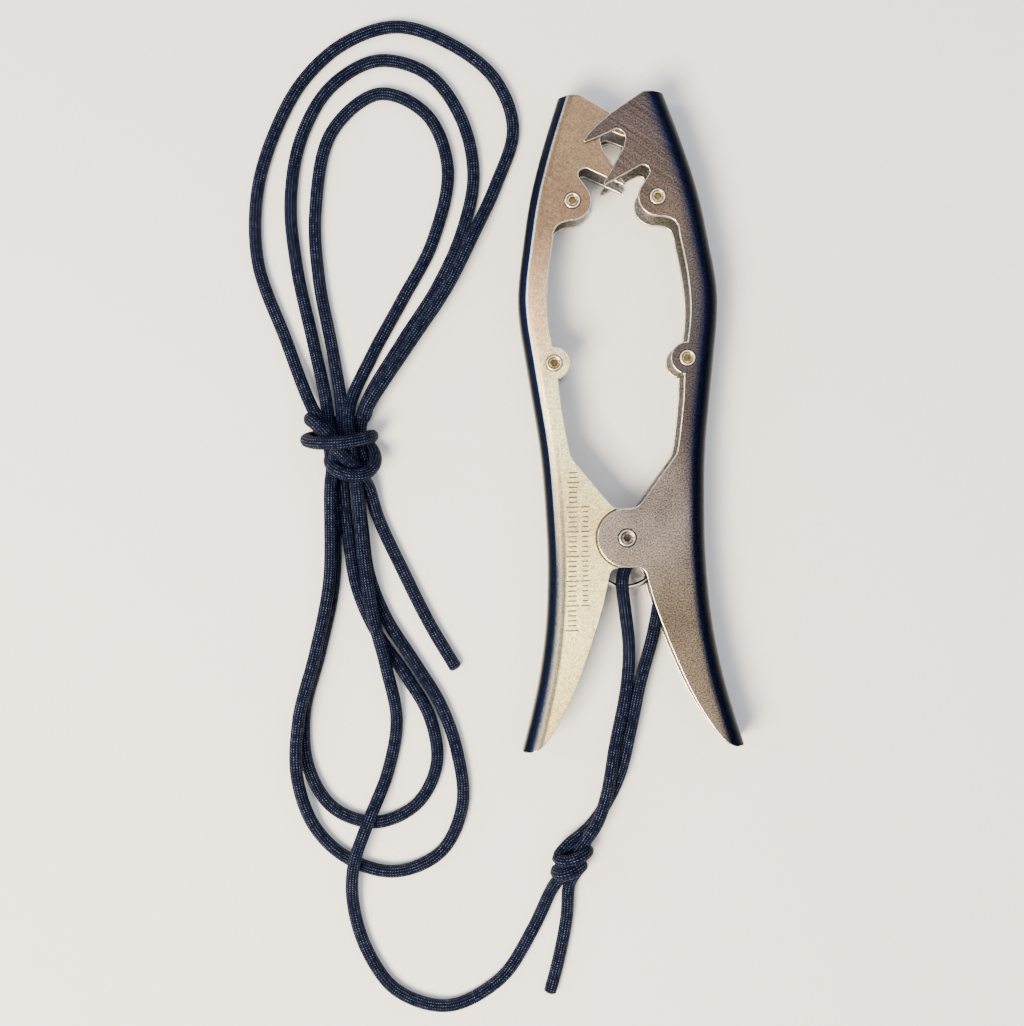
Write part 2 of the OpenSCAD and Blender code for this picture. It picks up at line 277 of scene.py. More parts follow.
@dataclass(frozen=True)
class SatinSheet:
    """Bead-blasted stainless steel sheet, pressed into a channel.

    Blasting gives the eye a soft grainy sheen, and the front is stained in clouds. The front's
    tints are painted light, lighter and darker along the arm as light falls on it. The bends
    carry painted shade and a painted dark blue reflection, with a painted white highlight line on
    the left arm's jaw. The grit is about 0.1 mm, drawn at 0.45 mm so that it shows.
    The tints stand along the arm, from its handle end (0) to its jaw end (1). The bands stand
    across a bend, from deep in the flange (0) over the bend's first line (0.5) to the spine (1).
    """

    name: str
    tints: tuple[tuple[float, str], ...]
    jaw_bend: tuple[Band, ...]
    handle_bend: tuple[Band, ...]
    stain_tint: str
    stain_share: float
    brushed: float
    speckle: tuple[float, float]
    # A ring of painted shade on the sheet, in the gap round the other arm's lug.
    rub_radius: float = 0.0
    rub_place: Point = (0.0, -35.4 * MM, 0.0)
    rub_width: float = 0.3 * MM
    rub_share: float = 0.9
    rub_tint: str = "2b2620"
    steel_tint: str = "8b8882"
    roughness: float = 0.4
    roughness_swing: float = 0.07
    grit: float = 0.45 * MM
    grit_depth: float = 0.03 * MM
    stain_size: float = 22 * MM
    brush_slant: float = math.radians(-36)
    brush_gap: float = 0.6 * MM
    brush_length: float = 20 * MM
    half_length: float = 100 * MM
    tint_heights: tuple[float, float] = (8 * MM, 13.5 * MM)
    handle_levels: tuple[float, float] = (5 * MM, -45 * MM)
    brush_levels: tuple[float, float] = (48 * MM, 75 * MM)

    def build(self) -> Material:
        """Make the material.

        Returns:
            The material.
        """
        material, tree, shader, place = blank(self.name)
        axes = add(tree, "ShaderNodeSeparateXYZ", {0: place})
        level = axes.outputs["Y"]
        # Painted light: the front's tints grow lighter and darker along the arm; the clouds are
        # stains.
        sheet = self._handled(tree, place, level, axes.outputs["Z"])
        # A ring of painted shade in the gap round the other arm's lug.
        if self.rub_radius:
            sheet = self._scored(tree, place, sheet)
        # Painted shade, dark blue reflection and white highlight lines on the bends.
        sheet = self._burnished(tree, level, sheet)

        # Grit from blasting.
        grit = add(tree, "ShaderNodeTexNoise", {
            "Vector": place, "Scale": 1 / self.grit, "Detail": 1.5, "Roughness": 0.6}).outputs[0]
        speckle = add(tree, "ShaderNodeMapRange", {
            "Value": grit, "From Min": 0.34, "From Max": 0.66,
            "To Min": self.speckle[0], "To Max": self.speckle[1]})
        grainy = add(tree, "ShaderNodeVectorMath", {
            0: sheet, "Scale": speckle.outputs[0]}, operation="SCALE")
        gain = self._brush_gain(tree, place, level)
        brushed = add(tree, "ShaderNodeVectorMath", {
            0: grainy.outputs[0], "Scale": gain}, operation="SCALE")
        rough = add(tree, "ShaderNodeMapRange", {
            "Value": grit, "From Min": 0.3, "From Max": 0.7,
            "To Min": self.roughness - self.roughness_swing,
            "To Max": self.roughness + self.roughness_swing})
        bump = add(tree, "ShaderNodeBump", {
            "Height": grit, "Strength": 0.3, "Distance": self.grit_depth})
        plug(tree, shader, {
            "Base Color": brushed.outputs[0], "Roughness": rough.outputs[0],
            "Normal": bump.outputs[0], "Metallic": 1.0})
        return material

    def _handled(self, tree: Tree, place: Socket, level: Socket, height: Socket) -> Socket:
        """Tint the front with painted light along the arm, and stain it in clouds.

        Args:
            tree: The material's tree.
            place: Object coordinates.
            level: The place along the arm.
            height: The place from the back face to the front face.

        Returns:
            The sheet's colour.
        """
        along = add(tree, "ShaderNodeMapRange", {
            "Value": level, "From Min": -self.half_length, "From Max": self.half_length})
        front = add(tree, "ShaderNodeMapRange", {
            "Value": height, "From Min": self.tint_heights[0], "From Max": self.tint_heights[1]})
        tinted = add(tree, "ShaderNodeValToRGB", {0: along.outputs[0]},
                     stops=[(at, linear(code)) for at, code in self.tints])
        tint = add(tree, "ShaderNodeMix", {
            0: front.outputs[0], 6: linear(self.steel_tint), 7: tinted.outputs[0]},
            data_type="RGBA")
        clouds = add(tree, "ShaderNodeTexNoise", {
            "Vector": place, "Scale": 1 / self.stain_size, "Detail": 4.0, "Roughness": 0.6})
        stain = add(tree, "ShaderNodeMapRange", {
            "Value": clouds.outputs[0], "From Min": 0.42, "From Max": 0.68,
            "To Max": self.stain_share})
        return add(tree, "ShaderNodeMix", {
            0: stain.outputs[0], 6: tint.outputs[2], 7: linear(self.stain_tint)},
            data_type="RGBA").outputs[2]

    def _scored(self, tree: Tree, place: Socket, sheet: Socket) -> Socket:
        """Paint a dark ring of shade in the gap round the other arm's lug.

        Args:
            tree: The material's tree.
            place: Object coordinates.
            sheet: The sheet's colour.

        Returns:
            The colour with the ring in it.
        """
        flat = add(tree, "ShaderNodeVectorMath", {0: place, 1: (1, 1, 0)}, operation="MULTIPLY")
        reach = add(tree, "ShaderNodeVectorMath", {
            0: flat.outputs[0], 1: self.rub_place}, operation="DISTANCE")
        near = add(tree, "ShaderNodeMath", {
            0: reach.outputs["Value"], 1: self.rub_radius, 2: self.rub_width},
            operation="COMPARE")
        share = add(tree, "ShaderNodeMath", {
            0: near.outputs[0], 1: self.rub_share}, operation="MULTIPLY")
        return add(tree, "ShaderNodeMix", {
            0: share.outputs[0], 6: sheet, 7: linear(self.rub_tint)},
            data_type="RGBA").outputs[2]

    def _burnished(self, tree: Tree, level: Socket, sheet: Socket) -> Socket:
        """Paint shade, dark reflection and highlight lines on the bends and the flange beside them.

        Args:
            tree: The material's tree.
            level: The place along the arm.
            sheet: The sheet's colour.

        Returns:
            The colour with the bands in it.
        """
        rolled = add(tree, "ShaderNodeAttribute", attribute_name="bend").outputs["Fac"]
        bend = add(tree, "ShaderNodeMapRange", {"Value": rolled, "From Min": -1.0}).outputs[0]
        handle = add(tree, "ShaderNodeMapRange", {
            "Value": level, "From Min": self.handle_levels[0], "From Max": self.handle_levels[1]})
        ends = []
        for bands in (self.jaw_bend, self.handle_bend):
            tint = add(tree, "ShaderNodeValToRGB", {0: bend},
                       stops=[(at, linear(code)) for at, code, _ in bands])
            share = add(tree, "ShaderNodeValToRGB", {0: bend},
                        stops=[(at, (part, part, part, 1.0)) for at, _, part in bands])
            ends.append(add(tree, "ShaderNodeMix", {
                0: share.outputs[0], 6: sheet, 7: tint.outputs[0]}, data_type="RGBA").outputs[2])
        return add(tree, "ShaderNodeMix", {
            0: handle.outputs[0], 6: ends[0], 7: ends[1]}, data_type="RGBA").outputs[2]

    def _brush_gain(self, tree: Tree, place: Socket, level: Socket) -> Socket:
        """Draw brush marks that slant down across the jaw.

        Args:
            tree: The material's tree.
            place: Object coordinates.
            level: The place along the arm.

        Returns:
            How much lighter or darker the sheet is.
        """
        lay = add(tree, "ShaderNodeMapping", {
            "Vector": place, "Rotation": (0, 0, self.brush_slant),
            "Scale": (self.brush_length, self.brush_gap, self.brush_length)},
            vector_type="TEXTURE")
        marks = add(tree, "ShaderNodeTexNoise", {
            "Vector": lay.outputs[0], "Scale": 1.0, "Detail": 3.0})
        near_jaw = add(tree, "ShaderNodeMapRange", {
            "Value": level, "From Min": self.brush_levels[0], "From Max": self.brush_levels[1],
            "To Max": self.brushed})
        streak = add(tree, "ShaderNodeMapRange", {
            "Value": marks.outputs[0], "From Min": 0.36, "From Max": 0.66,
            "To Min": -0.3, "To Max": 0.45})
        return add(tree, "ShaderNodeMath", {
            0: streak.outputs[0], 1: near_jaw.outputs[0], 2: 1.0},
            operation="MULTIPLY_ADD").outputs[0]


@dataclass(frozen=True)
class BareMetal:
    """Bare drawn, turned or sheared steel, whose tool leaves a clean shine with fine marks.

    The marks are so many to the metre along each axis, and have no direction where that is even.
    """

    name: str
    tint: str
    dark_tint: str
    roughness: float
    marks: tuple[float, float, float] = (900.0, 900.0, 3500.0)

    def build(self) -> Material:
        """Make the material.

        Returns:
            The material.
        """
        material, tree, shader, place = blank(self.name)
        lay = add(tree, "ShaderNodeMapping", {"Vector": place, "Scale": self.marks})
        marks = add(tree, "ShaderNodeTexNoise", {
            "Vector": lay.outputs[0], "Scale": 1.0, "Detail": 2.0}).outputs[0]
        tint = add(tree, "ShaderNodeMix", {
            0: marks, 6: linear(self.dark_tint), 7: linear(self.tint)}, data_type="RGBA")
        rough = add(tree, "ShaderNodeMapRange", {
            "Value": marks, "To Min": self.roughness * 0.7, "To Max": self.roughness * 1.3})
        plug(tree, shader, {
            "Base Color": tint.outputs[2], "Roughness": rough.outputs[0], "Metallic": 1.0})
        return material


@dataclass(frozen=True)
class PlatedScrew:
    """Steel screw, tumbled bright on its head and zinc plated in its socket.

    The head mirrors the room and the socket is yellow or plain under its grime. The mesh tells
    them apart by its "recess" value. Its "seam" value paints shade in the socket and round the
    dish's edge, and a painted shadow round the head's foot.
    """

    name: str = "screw_bright_steel_yellow_zinc_socket"
    head_tint: str = "efe4cf"
    socket_tint: str = "d9bb7e"
    grime_tint: str = "2e2413"
    tarnish_size: float = 0.9 * MM

    def build(self) -> Material:
        """Make the material.

        Returns:
            The material.
        """
        material, tree, shader, place = blank(self.name)
        recess = add(tree, "ShaderNodeAttribute", attribute_name="recess").outputs["Fac"]
        seam = add(tree, "ShaderNodeAttribute", attribute_name="seam").outputs["Fac"]
        tarnish = add(tree, "ShaderNodeTexNoise", {
            "Vector": place, "Scale": 1 / self.tarnish_size, "Detail": 3.0}).outputs[0]
        grimy = add(tree, "ShaderNodeMapRange", {
            "Value": tarnish, "From Min": 0.45, "From Max": 0.66, "To Max": 0.8})
        grime_and_shade = linear(self.grime_tint)
        socket = add(tree, "ShaderNodeMix", {
            0: grimy.outputs[0], 6: linear(self.socket_tint), 7: grime_and_shade}, data_type="RGBA")
        tint = add(tree, "ShaderNodeMix", {
            0: recess, 6: linear(self.head_tint), 7: socket.outputs[2]}, data_type="RGBA")
        # The seam value paints shade in the socket and a shadow round the head's foot.
        seamed = add(tree, "ShaderNodeMix", {
            0: seam, 6: tint.outputs[2], 7: grime_and_shade}, data_type="RGBA")
        rough = add(tree, "ShaderNodeMapRange", {
            "Value": tarnish, "To Min": 0.16, "To Max": 0.4})
        plug(tree, shader, {
            "Base Color": seamed.outputs[2], "Roughness": rough.outputs[0], "Metallic": 1.0})
        return material


@dataclass(frozen=True)
class EtchedMark:
    """Steel marked by a laser, which leaves a thin oxide skin: matt, brown and uneven."""

    name: str = "laser_etch_oxide"
    tint: str = "40372b"
    edge_tint: str = "5f5242"
    patch_size: float = 0.5 * MM

    def build(self) -> Material:
        """Make the material.

        Returns:
            The material.
        """
        material, tree, shader, place = blank(self.name)
        skin = add(tree, "ShaderNodeTexNoise", {
            "Vector": place, "Scale": 1 / self.patch_size, "Detail": 2.0})
        tint = add(tree, "ShaderNodeMix", {
            0: skin.outputs[0], 6: linear(self.tint), 7: linear(self.edge_tint)},
            data_type="RGBA")
        plug(tree, shader, {"Base Color": tint.outputs[2], "Roughness": 0.6, "Metallic": 0.4})
        return material


@dataclass(frozen=True)
class BraidedNylon:
    """Nylon braided round a core: columns of slanting stitches that lean left and right by turns.

    The gaps are almost black, and pale specks on the crowns are painted highlights, patchy along
    the cord. A column is 0.9 mm wide and a stitch 0.8 mm long. The UV map runs once round in U
    and counts millimetres in V.
    """

    name: str = "braided_nylon_navy"
    gap_tint: str = "010207"
    yarn_tint: str = "020a2a"
    worn_tint: str = "7c8ba8"
    columns: int = 14
    stitch_mm: float = 0.8
    stitch_lean: float = 1.5
    stitch_depth: float = 0.22 * MM
    wear_size: float = 1.4 * MM

    def build(self) -> Material:
        """Make the material.

        Returns:
            The material.
        """
        material, tree, shader, place = blank(self.name)
        around = add(tree, "ShaderNodeUVMap", uv_map="UVMap").outputs[0]
        uv = add(tree, "ShaderNodeSeparateXYZ", {0: around}).outputs
        glint_patches = add(tree, "ShaderNodeTexNoise", {
            "Vector": place, "Scale": 1 / self.wear_size, "Detail": 3.0})
        # Each row is one Math node: its result's name, its operation, and what goes into it.
        made = {"u": uv["X"], "v": uv["Y"], "glint_patches": glint_patches.outputs[0]}
        for name, operation, *terms in (
                ("across", "MULTIPLY", "u", self.columns),
                ("column", "FLOOR", "across"),
                ("odd", "MODULO", "column", 2.0),
                ("way", "SUBTRACT", "odd", 0.5),
                ("lean", "MULTIPLY", "way", 2 * self.stitch_lean),
                ("part", "FRACT", "across"),
                ("inside", "SUBTRACT", "part", 0.5),
                ("stitch", "DIVIDE", "v", self.stitch_mm),
                ("turn", "MULTIPLY_ADD", "inside", "lean", "stitch"),
                ("phase", "MULTIPLY", "turn", math.pi),
                ("wave", "SINE", "phase"),
                ("yarn", "ABSOLUTE", "wave"),
                ("yarn_swell", "POWER", "yarn", 0.7),
                ("arch", "MULTIPLY", "inside", math.pi),
                ("crown", "COSINE", "arch"),
                ("crown_swell", "POWER", "crown", 0.6),
                ("height", "MULTIPLY", "yarn_swell", "crown_swell"),
                ("body", "SMOOTH_MIN", "height", 1.0, 0.2),
                ("patchy", "MULTIPLY_ADD", "glint_patches", 0.5, 0.75),
                ("standing", "MULTIPLY", "height", "patchy")):
            values = {i: made[t] if isinstance(t, str) else t for i, t in enumerate(terms)}
            made[name] = add(tree, "ShaderNodeMath", values, operation=operation).outputs[0]

        body = add(tree, "ShaderNodeMix", {
            0: made["body"], 6: linear(self.gap_tint), 7: linear(self.yarn_tint)},
            data_type="RGBA")
        # Painted highlights: pale specks on the stitches' crowns, patchy by a noise.
        glint = add(tree, "ShaderNodeMapRange", {
            "Value": made["standing"], "From Min": 0.87, "From Max": 1.07, "To Max": 0.8})
        tint = add(tree, "ShaderNodeMix", {
            0: glint.outputs[0], 6: body.outputs[2], 7: linear(self.worn_tint)},
            data_type="RGBA")
        bump = add(tree, "ShaderNodeBump", {
            "Height": made["height"], "Strength": 0.8, "Distance": self.stitch_depth})
        plug(tree, shader, {
            "Base Color": tint.outputs[2], "Normal": bump.outputs[0],
            "Roughness": 0.6, "Specular IOR Level": 0.06})
        return material


@dataclass(frozen=True)
class MeltedNylon:
    """Nylon melted shut at a cut end: black, hard, lumpy and a little glossy."""

    name: str = "melted_nylon"
    tint: str = "07080d"
    bubble_tint: str = "1a1c24"
    lump_size: float = 0.8 * MM
    lump_depth: float = 0.2 * MM

    def build(self) -> Material:
        """Make the material.

        Returns:
            The material.
        """
        material, tree, shader, place = blank(self.name)
        lumps = add(tree, "ShaderNodeTexNoise", {
            "Vector": place, "Scale": 1 / self.lump_size, "Detail": 2.0}).outputs[0]
        tint = add(tree, "ShaderNodeMix", {
            0: lumps, 6: linear(self.tint), 7: linear(self.bubble_tint)}, data_type="RGBA")
        bump = add(tree, "ShaderNodeBump", {
            "Height": lumps, "Strength": 0.6, "Distance": self.lump_depth})
        plug(tree, shader, {
            "Base Color": tint.outputs[2], "Normal": bump.outputs[0], "Roughness": 0.3})
        return material


# ---- Arms ----------------------------------------------------------------------------


@dataclass
class PressedArm:
    """One arm: its packed channel, with the sheet's bends rolled round and its cut edges broken."""

    side: Side
    slot: Slot
    sheet: Material
    cut_edge: Material
    thickness: float = 1.4 * MM
    bend_radius: float = 5.0 * MM
    bend_steps: int = 4
    # How far the bends' painted shade reaches into the flange.
    burnish_reach: float = 7.0 * MM
    slice_gap: float = 2.0 * MM
    edge_break: float = 0.28 * MM
    edge_angle: float = 55.0
    smooth_angle: float = 40.0
    flat_angle: float = 0.6
    weld_gap: float = 0.005 * MM
    plane_gap: float = 0.004 * MM
    line_gap: float = 0.01 * MM
    level_gap: float = 0.02 * MM
    outline: list[tuple[float, float]] = field(default_factory=list)

    def build(self) -> Piece:
        """Make the arm and let it ride on its body.

        Returns:
            The finished piece.
        """
        mesh = bpy.data.objects[self.side.arm].data.copy()
        self._roll_bends(mesh)
        mesh.materials.clear()
        mesh.materials.append(self.sheet)
        mesh.materials.append(self.cut_edge)
        piece = link_object(f"{self.side.arm}_sheet", mesh)
        edges = piece.modifiers.new("broken_edges", "BEVEL")
        edges.limit_method = "ANGLE"
        edges.angle_limit = math.radians(self.edge_angle)
        edges.width = self.edge_break
        edges.segments = 2
        edges.material = 1
        edges.use_clamp_overlap = False
        settle(piece)
        smooth(piece.data, self.smooth_angle)
        normals = piece.modifiers.new("flat_faces", "WEIGHTED_NORMAL")
        normals.keep_sharp = True
        settle(piece)
        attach(piece, self.side.arm)
        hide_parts(self.side.arm)
        return piece

    def _roll_bends(self, mesh: bpy.types.Mesh) -> None:
        """Roll the channel's square corners round, with the sheet as thick as before.

        Args:
            mesh: The channel. It gains a "bend" value: 0 where the bend starts, 1 on the spine,
                and less than 0 on a flange.
        """
        work = bmesh.new()
        work.from_mesh(mesh)
        bmesh.ops.remove_doubles(work, verts=work.verts, dist=self.weld_gap)
        bmesh.ops.dissolve_limit(
            work, angle_limit=math.radians(self.flat_angle), verts=work.verts, edges=work.edges)
        lengthwise = [v.co.y for v in work.verts]
        depthwise = [v.co.z for v in work.verts]
        start, end = min(lengthwise), max(lengthwise)
        low, high = min(depthwise), max(depthwise)

        count = round((end - start) / self.slice_gap)
        levels = [start + (end - start) * i / count for i in range(count + 1)]
        for level in levels[1:-1]:
            self._slice(work, (0, level, 0), (0, 1, 0))
        self.outline = [
            (level, max(v.co.x * self.side.value for v in work.verts
                        if abs(v.co.y - level) < self.level_gap))
            for level in levels]

        # Cuts stand at even angles round each bend, on the sheet's outside and inside.
        cuts = [
            radius * math.tan(math.pi / 4 * k / self.bend_steps)
            for radius in (self.bend_radius, self.bend_radius - self.thickness)
            for k in range(self.bend_steps)]
        for cut in cuts:
            self._slice(work, (0, 0, high - self.bend_radius + cut), (0, 0, 1))
            self._slice(work, (0, 0, low + self.bend_radius - cut), (0, 0, 1))
            self._cut_along(work, self.bend_radius - cut)
        self._press(work, low, high)
        work.to_mesh(mesh)
        work.free()

    def _slice(self, work: bmesh.types.BMesh, place: Point, across: Point) -> None:
        """Cut every face where a plane crosses it."""
        bmesh.ops.bisect_plane(
            work, geom=[*work.verts, *work.edges, *work.faces], dist=self.plane_gap,
            plane_co=place, plane_no=across)

    def _edge_at(self, level: float) -> tuple[float, float]:
        """Find the arm's outer edge.

        Args:
            level: A place along Y.

        Returns:
            The edge's distance from the middle, and the cosine of its slope.
        """
        first, gap = self.outline[0][0], self.outline[1][0] - self.outline[0][0]
        step = min(max((level - first) / gap, 0.0), len(self.outline) - 1.001)
        i = int(step)
        a, b = self.outline[max(i - 1, 0)], self.outline[min(i + 2, len(self.outline) - 1)]
        slope = (b[1] - a[1]) / (b[0] - a[0])
        here, after = self.outline[i][1], self.outline[i + 1][1]
        return here + (after - here) * (step - i), 1 / math.hypot(1, slope)

    def _depth(self, place: Vector) -> float:
        """How far a point lies inside the arm's outer edge."""
        reach, lean = self._edge_at(place.y)
        return (reach - place.x * self.side.value) * lean

    def _cut_along(self, work: bmesh.types.BMesh, depth: float) -> None:
        """Cut every face along the line at one depth from the outer edge.

        Args:
            work: The channel.
            depth: The line's distance from the edge.
        """
        depths = {v: self._depth(v.co) - depth for v in work.verts}
        fresh = [v for v, off in depths.items() if abs(off) <= self.line_gap]
        for edge in list(work.edges):
            a, b = edge.verts
            crosses = depths[a] * depths[b] < 0
            if crosses and min(abs(depths[a]), abs(depths[b])) > self.line_gap:
                _, vert = bmesh.utils.edge_split(edge, a, depths[a] / (depths[a] - depths[b]))
                fresh.append(vert)
        bmesh.ops.connect_verts(work, verts=fresh, check_degenerate=True)

    def _press(self, work: bmesh.types.BMesh, low: float, high: float) -> None:
        """Move the corners' square shells onto arcs.

        Args:
            work: The channel, cut where it bends.
            low: The back flange's face.
            high: The front flange's face.
        """
        bend = work.verts.layers.float.new("bend")
        radius = self.bend_radius
        for vert in work.verts:
            reach, lean = self._edge_at(vert.co.y)
            inward = radius - (reach - vert.co.x * self.side.value) * lean
            front = vert.co.z > (low + high) / 2
            up = vert.co.z - high + radius if front else low + radius - vert.co.z
            if inward <= 0:
                vert[bend] = inward / self.burnish_reach
                continue
            if up <= 0:
                vert[bend] = 1.0
                continue
            vert[bend] = math.atan2(inward, up) / (math.pi / 2)
            shrink = max(inward, up) / math.hypot(inward, up)
            vert.co.x = (reach - (radius - inward * shrink) / lean) * self.side.value
            vert.co.z = high - radius + up * shrink if front else low + radius - up * shrink


@dataclass(frozen=True)
class TickRow:
    """One row of ticks, from the middle of its first tick to its last one's, in millimetres."""

    first: tuple[float, float]
    last: tuple[float, float]
    length: float
    count: int


@dataclass
class GaugeMarks:
    """Two plain rows of etched ticks on the left arm, every fifth one longer."""

    material: Material
    rows: tuple[TickRow, ...] = (
        TickRow((-17.6, -63.0), (-15.6, -15.0), 2.6, 33),
        TickRow((-13.3, -55.5), (-12.2, -25.5), 1.8, 21))
    long_every: int = 5
    long_share: float = 1.5
    width: float = 0.4 * MM
    sink: float = 0.05 * MM
    proud: float = 0.012 * MM

    def build(self) -> Piece:
        """Etch the ticks and let them ride on the left arm.

        Returns:
            The finished piece.
        """
        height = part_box(Side.LEFT.arm)[1].z + self.proud - self.sink / 2
        points, sizes = [], []
        for row in self.rows:
            start, end = Vector(row.first), Vector(row.last)
            for i in range(row.count):
                points.append((*(start.lerp(end, i / (row.count - 1)) * MM), height))
                share = self.long_share if i % self.long_every == 0 else 1.0
                sizes.append(row.length * MM * share)
        mesh = bpy.data.meshes.new("gauge_ticks")
        mesh.from_pydata(points, [], [])
        lengths = mesh.attributes.new("tick_length", "FLOAT", "POINT")
        lengths.data.foreach_set("value", sizes)
        piece = link_object("gauge_ticks", mesh)
        run_kit(piece, self._tree(), {
            "Width": self.width, "Depth": self.sink, "Etch": self.material})
        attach(piece, Side.LEFT.arm)
        return piece

    def _tree(self) -> Tree:
        """Put a bar on each point, as long as the point's own tick length.

        Returns:
            The tree.
        """
        tree, inputs = open_kit("etched_ticks", (
            ("Width", "Float"), ("Depth", "Float"), ("Etch", "Material")))
        size = add(tree, "ShaderNodeCombineXYZ", {0: 1.0, 1: inputs["Width"], 2: inputs["Depth"]})
        bar = add(tree, "GeometryNodeMeshCube", {"Size": size.outputs[0]})
        length = add(tree, "GeometryNodeInputNamedAttribute", {"Name": "tick_length"},
                     data_type="FLOAT")
        scale = add(tree, "ShaderNodeCombineXYZ", {0: length.outputs[0], 1: 1.0, 2: 1.0})
        placed = add(tree, "GeometryNodeInstanceOnPoints", {
            "Points": inputs["Geometry"], "Instance": bar.outputs[0],
            "Scale": scale.outputs[0]})
        return close_kit(tree, placed.outputs[0], inputs["Etch"])


# ---- Screws --------------------------------------------------------------------------


@dataclass
class ScrewSet:
    """All the screws of one size and face on one body, as one piece."""

    name: str
    nodes: tuple[str, ...]
    face: Face
    body: str
    material: Material
    head_height: float
    shank_radius: float
    socket_flat: float = 1.0 * MM
    socket_depth: float = 1.2 * MM
    dish_radius: float = 1.7 * MM
    dish_depth: float = 0.25 * MM
    edge: float = 0.14 * MM
    rim: float = 0.28 * MM
    rim_steps: int = 4
    seam_width: float = 0.24 * MM
    seam_rise: float = 0.05 * MM
    seam_lap: float = 0.02 * MM
    segments: int = 48
    smooth_angle: float = 38.0
    head_radius: float = 0.0
    length: float = 0.0

    def build(self) -> Piece:
        """Make the set and let it ride on its body.

        Returns:
            The finished piece.
        """
        boxes = [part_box(node) for node in self.nodes]
        low, high = boxes[0]
        self.head_radius = (high.x - low.x) / 2
        self.length = high.z - low.z
        front = self.face is Face.FRONT
        mesh = bpy.data.meshes.new(self.name)
        mesh.from_pydata([
            ((low.x + high.x) / 2, (low.y + high.y) / 2, high.z if front else low.z)
            for low, high in boxes], [], [])
        piece = link_object(self.name, mesh)
        pattern = link_object(f"{self.name}_pattern", self._pattern())
        run_kit(piece, self._tree(), {
            "Screw": pattern, "Turn": 0.0 if front else math.pi, "Metal": self.material})
        bpy.data.objects.remove(pattern)
        smooth(piece.data, self.smooth_angle)
        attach(piece, self.body)
        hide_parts(*self.nodes)
        return piece

    def _profile(self) -> list[tuple[float, float, bool, float, float]]:
        """Rings from the socket's floor to the shank's tip.

        Returns:
            For each ring its radius, its height below the top, whether it is hexagonal, and its
            recess and seam values.
        """
        head, shank, edge = self.head_radius, self.shank_radius, self.edge
        foot = -self.head_height
        # A flared ring at the head's foot that carries a painted shadow.
        seam = [
            (head + self.seam_lap, foot + self.seam_rise, False, 0.0, 1.0),
            (head + self.seam_width, foot + self.seam_lap, False, 0.0, 1.0),
            (head + self.seam_width, foot, False, 0.0, 1.0),
        ] if self.face is Face.FRONT else []
        rim = [
            (head + self.rim * (math.cos(angle) - 1), self.rim * (math.sin(angle) - 1),
             False, 0.0, 0.0)
            for angle in (math.pi / 2 * k / self.rim_steps for k in range(self.rim_steps, -1, -1))]
        return [
            (self.socket_flat, -self.socket_depth, True, 1.0, 0.8),
            (self.socket_flat, -self.dish_depth - edge / 2, True, 1.0, 0.3),
            (self.socket_flat + edge / 2, -self.dish_depth, True, 1.0, 0.0),
            (self.dish_radius - edge, -self.dish_depth, False, 1.0, 0.3),
            (self.dish_radius, -self.dish_depth + edge / 2, False, 0.6, 0.9),
            (self.dish_radius + edge, -edge / 3, False, 0.0, 0.1),
            (self.dish_radius + edge * 1.6, 0.0, False, 0.0, 0.0),
            *rim,
            (head, foot + self.seam_rise, False, 0.0, 0.4),
            *seam,
            (shank, foot, False, 0.0, 0.0),
            (shank, -self.length + edge * 2, False, 0.0, 0.0),
            (shank - edge * 2, -self.length, False, 0.0, 0.0),
        ]

    def _pattern(self) -> bpy.types.Mesh:
        """One screw whose top is at the origin and whose shank points down.

        Returns:
            Its mesh, with a "recess" value of 1 in the socket, and a "seam" value for painted
            shade.
        """
        work = bmesh.new()
        recess = work.verts.layers.float.new("recess")
        grime_and_shade = work.verts.layers.float.new("seam")
        rings = []
        for radius, height, hexagonal, value, painted_shade in self._profile():
            ring = []
            for i in range(self.segments):
                angle = 2 * math.pi * i / self.segments
                offset = angle % (math.pi / 3) - math.pi / 6
                reach = radius / math.cos(offset) if hexagonal else radius
                vert = work.verts.new((reach * math.cos(angle), reach * math.sin(angle), height))
                vert[recess] = value
                vert[grime_and_shade] = painted_shade
                ring.append(vert)
            rings.append(ring)
        for upper, lower in zip(rings, rings[1:]):
            for i in range(self.segments):
                j = (i + 1) % self.segments
                work.faces.new((upper[i], lower[i], lower[j], upper[j]))
        work.faces.new(rings[0])
        work.faces.new(reversed(rings[-1]))
        bmesh.ops.recalc_face_normals(work, faces=work.faces)
        mesh = bpy.data.meshes.new(f"{self.name}_pattern")
        work.to_mesh(mesh)
        work.free()
        return mesh

    def _tree(self) -> Tree:
        """Put the screw on each point, turned over for a back face.

        Returns:
            The tree.
        """
        tree, inputs = open_kit(f"{self.name}_row", (
            ("Screw", "Object"), ("Turn", "Float"), ("Metal", "Material")))
        pattern = add(tree, "GeometryNodeObjectInfo", {"Object": inputs["Screw"]})
        turn = add(tree, "ShaderNodeCombineXYZ", {0: inputs["Turn"], 1: 0.0, 2: 0.0})
        placed = add(tree, "GeometryNodeInstanceOnPoints", {
            "Points": inputs["Geometry"], "Instance": pattern.outputs["Geometry"],
            "Rotation": turn.outputs[0]})
        return close_kit(tree, placed.outputs[0], inputs["Metal"])


# ---- Spring and ring -----------------------------------------------------------------


